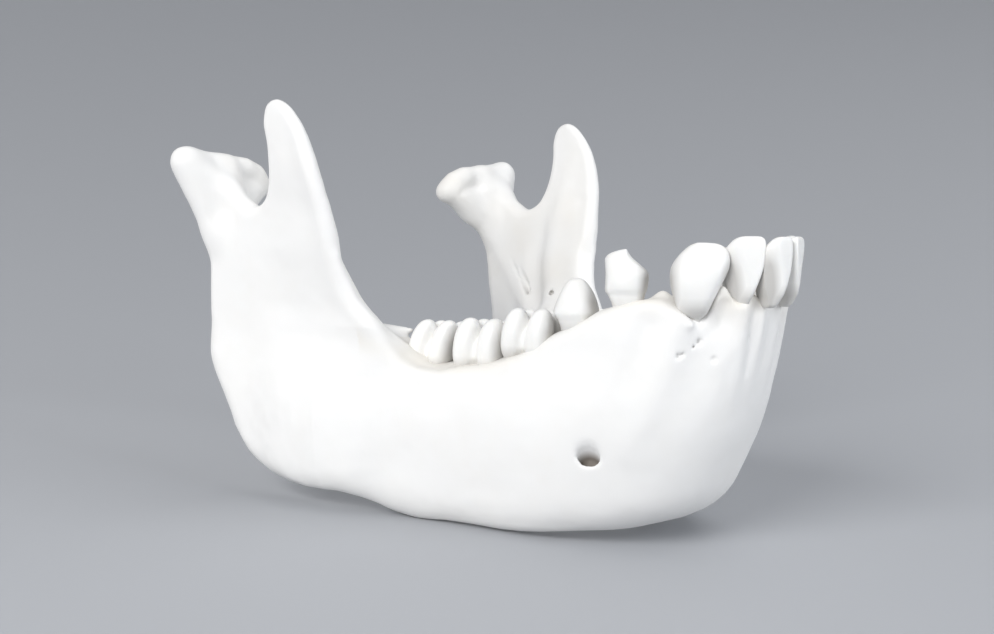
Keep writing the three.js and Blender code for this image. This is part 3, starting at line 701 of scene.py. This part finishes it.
def profile_field(p, profile, size):
    """A crown whose level sections are rounded and reach as far to each side as its profiles say."""
    rise = p[2] / size[2]
    sections = []
    for axis, ahead, behind in ((0, "mesial", "distal"), (1, "lip", "tongue")):
        reach = np.where(p[axis] > 0, along(profile[ahead], rise), along(profile[behind], rise))
        reach = np.maximum(reach * size[axis], LEAST_REACH)
        sections.append((np.abs(p[axis]) / reach) ** PROFILE_POWER)
    ring = (sections[0] + sections[1]) ** (1 / PROFILE_POWER) - 1
    return np.maximum(ring, np.maximum(p[2] - size[2], -p[2] - ROOT_DEPTH))


def incisor_field(p, size):
    """An incisor: thick at its neck, thin at its edge, with a narrow face to the lip."""
    rise = p[2] / size[2]
    lip = along(INCISOR["lip"], rise) * size[1]
    depth = np.clip((lip - p[1]) / np.maximum(lip, 1), 0, 1)
    narrower = INCISOR_TAPER * np.maximum(-p[1], 0)
    sides = []
    for way, name in ((1, "mesial"), (-1, "distal")):
        front = along(INCISOR[name + "_front"], rise) * size[0]
        rear = along(INCISOR[name + "_rear"], rise) * size[0]
        sides.append(way * p[0] - front - (rear - front) * depth + narrower)
    ring = keep_both(sides[0], sides[1], INCISOR_ROUND)
    ring = keep_both(ring, p[1] - lip, INCISOR_ROUND)
    ring = keep_both(ring, -p[1] - along(INCISOR["tongue"], rise) * size[1], INCISOR_ROUND)
    topped = keep_both(ring, p[2] - size[2], INCISOR_EDGE_ROUND)
    return keep_both(topped, -p[2] - INCISOR_ROOT_DEPTH, INCISOR_ROUND)


def row_matrix():
    """From the bone's own frame in millimetres to the row frame in metres."""
    place = Matrix.Translation(Vector(REST_PLACE) * MM)
    return place @ Matrix.Rotation(REST_TILT, 4, "Y") @ Matrix.Scale(MM, 4)


def new_object(name, points, faces, material):
    """A smooth-shaded mesh object from points in the bone's own frame."""
    matrix = np.array(row_matrix())
    placed = points @ matrix[:3, :3].T + matrix[:3, 3]
    mesh = bpy.data.meshes.new(name)
    corners = faces.shape[1]
    mesh.vertices.add(len(placed))
    mesh.vertices.foreach_set("co", placed.astype(np.float32).ravel())
    mesh.loops.add(faces.size)
    mesh.loops.foreach_set("vertex_index", faces.astype(np.int32).ravel())
    mesh.polygons.add(len(faces))
    mesh.polygons.foreach_set("loop_start", np.arange(0, faces.size, corners, dtype=np.int32))
    mesh.update(calc_edges=True)
    mesh.validate()
    mesh.polygons.foreach_set("use_smooth", np.ones(len(mesh.polygons), bool))
    mesh.materials.append(material)
    piece = bpy.data.objects.new(name, mesh)
    bpy.context.scene.collection.objects.link(piece)
    return piece


def outward_faces(points, faces):
    """Faces turned so that they look outward, judged by the sign of the volume."""
    a, b, c = (points[faces[:, i]] for i in range(3))
    volume = np.einsum("ij,ij->i", a, np.cross(b, c)).sum()
    return faces if volume > 0 else faces[:, ::-1]


def grid_lines():
    """The grid's places along each axis, which along y start half a cell from the midline."""
    starts = (GRID_LOW[0], GRID_LOW[1] + CELL / 2, GRID_LOW[2])
    return [np.arange(start, high, CELL) for start, high in zip(starts, GRID_HIGH)]


def bone_surface():
    """Points and quads of the bone's surface: one side on the grid, mirrored, then relief all over."""
    xs, half_ys, zs = grid_lines()
    one_side = plain_bone(xs[:, None, None], half_ys[None, :, None], zs[None, None, :])
    field = np.concatenate([one_side[:, ::-1], one_side], axis=1)
    ys = np.concatenate([-half_ys[::-1], half_ys])
    near = np.nonzero(np.abs(field) < BAND)
    points = (xs[near[0]], ys[near[1]], zs[near[2]])
    field[near] = relief(points, field[near])
    grid = openvdb.FloatGrid(BAND)
    grid.copyFromArray(np.clip(field, -BAND, BAND).astype(np.float32))
    vertices, _, quads = grid.convertToPolygons(isovalue=0, adaptivity=0)
    low_corner = np.array([xs[0], ys[0], zs[0]])
    return vertices.astype(float) * CELL + low_corner, quads.astype(np.int64)


def ball():
    """Directions and triangles of a fine ball."""
    mesh = bmesh.new()
    bmesh.ops.create_icosphere(mesh, subdivisions=BALL_FINENESS, radius=1)
    ways = np.array([v.co[:] for v in mesh.verts])
    faces = np.array([[v.index for v in face.verts] for face in mesh.faces])
    mesh.free()
    return ways, faces


def turned(x, y, angle):
    """A place turned about the upright axis."""
    return x * math.cos(angle) - y * math.sin(angle), x * math.sin(angle) + y * math.cos(angle)


def tooth_surface(tooth, side, ways):
    """Points of one tooth: a ball pushed out to its crown's surface."""
    foot, top = tooth["heights"]
    size = np.array([*tooth["spans"], top - foot])
    ways = ways * size
    ways = ways / np.linalg.norm(ways, axis=1, keepdims=True)
    middle = np.array([0, 0, size[2] * BALL_HEIGHT])
    near = np.zeros(len(ways))
    far = np.full(len(ways), SEARCH_REACH)
    for _ in range(SEARCH_STEPS):
        t = (near + far) / 2
        p = middle + ways * t[:, None]
        inside = crown_field((p[:, 0], p[:, 1], p[:, 2]), tooth["kind"], size, tooth["lean"]) < 0
        near = np.where(inside, t, near)
        far = np.where(inside, far, t)
    p = middle + ways * near[:, None]
    x, y = turned(p[:, 0], p[:, 1], math.radians(-tooth["turn"]))
    place_x, place_y = tooth["place"]
    return np.stack([place_x + x, side * (place_y + y), foot + p[:, 2]], axis=1)


def tooth_grey_and_painted_shade(tooth, points, side):
    """How grey a tooth is at each point: at its root, and painted shade low on the sides that face its
    neighbours.
    """
    foot, top = tooth["heights"]
    length, width = tooth["spans"]
    place_x, place_y = tooth["place"]
    rise = (points[:, 2] - foot) / (top - foot)
    turn = math.radians(tooth["turn"])
    forward, outward = turned(points[:, 0] - place_x, side * points[:, 1] - place_y, turn)
    forward = (forward - tooth["lean"] * (rise - LEAN_HEIGHT) * (top - foot)) / length
    if tooth["kind"] == "incisor":
        mesial = along(INCISOR["mesial_front"], rise)
        distal = along(INCISOR["distal_front"], rise)
        edge = np.where(forward > 0, mesial, distal) + PAINTED_SHADE_SIDE["incisor"]
    else:
        edge = PAINTED_SHADE_SIDE["edge"] + PAINTED_SHADE_SIDE["outward"] * outward / width
    # Painted shade: low on the sides that face the neighbouring teeth.
    beside = np.clip((np.abs(forward) - edge) / PAINTED_SHADE_SIDE["fade"], 0, 1)
    beside = beside * np.clip((PAINTED_SHADE_SIDE["top"] - rise) / PAINTED_SHADE_SIDE["top_fade"], 0, 1)
    root = np.clip((SHADE_ROOT["top"] - rise) / SHADE_ROOT["fade"], 0, 1)
    return np.maximum(SHADE_ROOT["strength"] * root, beside)


def bone_stain_and_shade(points):
    """How much warmer and darker the bone is at each point: stains, and painted shade high on the inner face
    of the ramus.
    """
    p = (points[:, 0], points[:, 1], points[:, 2])
    from_crest = (p[2] - along(CREST, p[0])) / STAIN_SOCKETS["reach"]
    sockets = np.exp(-(from_crest**2)) * (p[0] > STAIN_SOCKETS["back"])
    cloud = 0.5 + 0.5 * soft_noise(p, STAIN_CLOUD["size"], STAIN_CLOUD["seed"])
    speck = 0.5 + 0.5 * soft_noise(p, STAIN_SPECK["size"], STAIN_SPECK["seed"])
    # Painted shade high on the inner face of the ramus, warm like the stains.
    inner = np.clip((ramus_middle(p[0], p[2]) - np.abs(p[1])) / PAINTED_SHADE_INNER["depth"], 0, 1)
    inner = inner * np.clip((p[2] - PAINTED_SHADE_INNER["foot"]) / PAINTED_SHADE_INNER["fade"], 0, 1)
    stain_and_shade = STAIN_SOCKETS["strength"] * sockets + PAINTED_SHADE_INNER["strength"] * inner
    return np.clip(stain_and_shade * cloud + STAIN_CLOUD["strength"] * cloud * speck, 0, 1)


def painted_hole_shade(points):
    """How deep each point lies in a hole, as a share from 0 to 1, which sets its painted shade."""
    below = -plain_bone(points[:, 0], np.abs(points[:, 1]), points[:, 2])
    return np.clip((below - HOLE_SHADE_START) / HOLE_SHADE_FADE, 0, 1)


def add_number(mesh, name, values):
    """Stores one number for each point of a mesh, for its material to read."""
    attribute = mesh.attributes.new(name, "FLOAT", "POINT")
    attribute.data.foreach_set("value", values.astype(np.float32))


def new_material(name, roughness, coat):
    """A material with a plain shader, its node tree and the shader."""
    material = bpy.data.materials.new(name)
    material.use_nodes = True
    shader = material.node_tree.nodes["Principled BSDF"]
    shader.inputs["Roughness"].default_value = roughness
    shader.inputs["Coat Weight"].default_value = coat
    shader.inputs["Coat Roughness"].default_value = COAT_ROUGHNESS
    shader.inputs["Specular IOR Level"].default_value = SPECULAR_LEVEL
    return material, material.node_tree, shader


def noise_socket(tree, scale, detail):
    """A noise texture on the object's own coordinates."""
    place = tree.nodes.new("ShaderNodeTexCoord")
    noise = tree.nodes.new("ShaderNodeTexNoise")
    noise.inputs["Scale"].default_value = scale
    noise.inputs["Detail"].default_value = detail
    tree.links.new(place.outputs["Object"], noise.inputs["Vector"])
    return noise.outputs["Fac"]


def number_socket(tree, name):
    """The number of the given name that a mesh stores for each of its points."""
    number = tree.nodes.new("ShaderNodeAttribute")
    number.attribute_name = name
    return number.outputs["Fac"]


def mix_colours(tree, factor, low, high):
    """A colour between two by a factor, each a colour or a socket."""
    mix = tree.nodes.new("ShaderNodeMix")
    mix.data_type = "RGBA"
    tree.links.new(factor, mix.inputs["Factor"])
    for socket, value in ((mix.inputs[MIX_LOW], low), (mix.inputs[MIX_HIGH], high)):
        if isinstance(value, tuple):
            socket.default_value = (*value, 1)
        else:
            tree.links.new(value, socket)
    return mix.outputs[MIX_RESULT]


def add_bump(tree, shader, height, strength, distance):
    """Fine relief on a shader from a height."""
    bump = tree.nodes.new("ShaderNodeBump")
    bump.inputs["Strength"].default_value = strength
    bump.inputs["Distance"].default_value = distance
    tree.links.new(height, bump.inputs["Height"])
    tree.links.new(bump.outputs["Normal"], shader.inputs["Normal"])


def bone_material():
    """Dry cleaned bone: ivory white with faint clouds, warm stains, painted shade in its holes and high on
    the inner face of the ramus, and a fine grain.
    """
    material, tree, shader = new_material("bone", BONE["roughness"], BONE["coat"])
    plain = mix_colours(tree, noise_socket(tree, *BONE["clouds"]), BONE["dull"], BONE["pale"])
    # Stains, and painted shade high on the inner face of the ramus.
    stained_and_shaded = mix_colours(tree, number_socket(tree, "stain_and_shade"), plain, BONE["stain_and_shade"])
    # Painted shade: the holes darken with their depth.
    colour = mix_colours(tree, number_socket(tree, "depth"), stained_and_shaded, BONE["hole"])
    tree.links.new(colour, shader.inputs["Base Color"])
    add_bump(tree, shader, noise_socket(tree, *BONE["grain"]), *BONE["bump"])
    return material


def enamel_material():
    """Tooth enamel: creamy white, smoother than bone, greyer at its root, and darkened by painted shade on
    its sides.
    """
    material, tree, shader = new_material("enamel", ENAMEL["roughness"], ENAMEL["coat"])
    shader.inputs["Subsurface Weight"].default_value = ENAMEL["subsurface"]
    shader.inputs["Subsurface Radius"].default_value = ENAMEL["subsurface_reach"]
    crown = mix_colours(tree, noise_socket(tree, *ENAMEL["clouds"]), ENAMEL["dull"], ENAMEL["pale"])
    # The root number greys the root and paints shade on the sides between the teeth.
    colour = mix_colours(tree, number_socket(tree, "root"), crown, ENAMEL["root"])
    tree.links.new(colour, shader.inputs["Base Color"])
    add_bump(tree, shader, noise_socket(tree, *ENAMEL["grain"]), *ENAMEL["bump"])
    return material


def make_bone():
    """The whole bone as one piece, which stands for every node."""
    points, faces = bone_surface()
    piece = new_object("jawbone", points, outward_faces(points, faces), bone_material())
    # This number holds the stains and the painted shade on the inner face of the ramus.
    add_number(piece.data, "stain_and_shade", bone_stain_and_shade(points))
    # The depth number sets the painted shade in the holes.
    add_number(piece.data, "depth", painted_hole_shade(points))
    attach(piece, "root")
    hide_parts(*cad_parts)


def make_teeth():
    """Sixteen teeth, one piece each."""
    ways, faces = ball()
    enamel = enamel_material()
    for side, side_name in ((-1, "right"), (1, "left")):
        for name, row in TEETH.items():
            tooth = dict(zip(TOOTH_COLUMNS, row))
            points = tooth_surface(tooth, side, ways)
            piece = new_object(f"{name}_{side_name}", points, outward_faces(points, faces), enamel)
            # The root number holds the root's grey and the painted shade between the teeth.
            add_number(piece.data, "root", tooth_grey_and_painted_shade(tooth, points, side))
            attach(piece, "root")


def make_floor():
    """A plain pale floor, flat under the bone and swept up far away on every side."""
    mesh = bmesh.new()
    count = FLOOR["corners"]
    turns = [2 * math.pi * i / count for i in range(count)]
    loops = []
    for i in range(FLOOR["rings"]):
        beyond = FLOOR["step"] * i
        radius, height = FLOOR["flat"] + beyond, FLOOR["sweep"] * beyond**2
        loops.append([mesh.verts.new((radius * math.cos(t), radius * math.sin(t), height)) for t in turns])
    mesh.faces.new(loops[0])
    for low, high in zip(loops[:-1], loops[1:]):
        for i in range(count):
            j = (i + 1) % count
            mesh.faces.new((low[i], high[i], high[j], low[j])).smooth = True
    data = bpy.data.meshes.new("floor")
    mesh.to_mesh(data)
    mesh.free()
    floor = bpy.data.objects.new("floor", data)
    bpy.context.scene.collection.objects.link(floor)
    material, _, shader = new_material("floor", FLOOR_ROUGHNESS, 0)
    shader.inputs["Base Color"].default_value = (*FLOOR_COLOUR, 1)
    data.materials.append(material)


def make_light(name, place, size, power, colour):
    """A soft square light that looks at the bone."""
    data = bpy.data.lights.new(name, "AREA")
    data.size = size
    data.energy = power
    data.color = colour
    light = bpy.data.objects.new(name, data)
    light.location = place
    light.rotation_euler = (Vector(LIGHT_AIM) - Vector(place)).to_track_quat("-Z", "Y").to_euler()
    bpy.context.scene.collection.objects.link(light)


def make_lights():
    """A soft key light from the camera's left, a cooler fill, a weak light from above and a pale room."""
    for name, light in LIGHTS.items():
        make_light(name, **light)
    world = bpy.data.worlds.new("room")
    world.use_nodes = True
    background = world.node_tree.nodes["Background"]
    background.inputs["Color"].default_value = (*ROOM_COLOUR, 1)
    background.inputs["Strength"].default_value = ROOM_STRENGTH
    bpy.context.scene.world = world
    bpy.context.scene.view_settings.view_transform = "Standard"


def make_camera():
    """The camera at the photograph's viewing angle."""
    data = bpy.data.cameras.new("camera")
    data.sensor_width = CAMERA_SENSOR
    data.lens = CAMERA_LENS
    data.clip_start = CAMERA_NEAR
    camera = bpy.data.objects.new("camera", data)
    bpy.context.scene.collection.objects.link(camera)
    bpy.context.scene.camera = camera
    facing = Matrix.Rotation(CAMERA_TURN, 4, "Z") @ Matrix.Rotation(math.pi / 2 - CAMERA_DROP, 4, "X")
    rest = Matrix.Rotation(REST_TILT, 4, "Y")
    place = row_matrix() @ Vector(CAMERA_PLACE)
    camera.matrix_world = Matrix.Translation(place) @ rest @ facing


make_camera()
make_floor()
make_lights()
make_bone()
make_teeth()
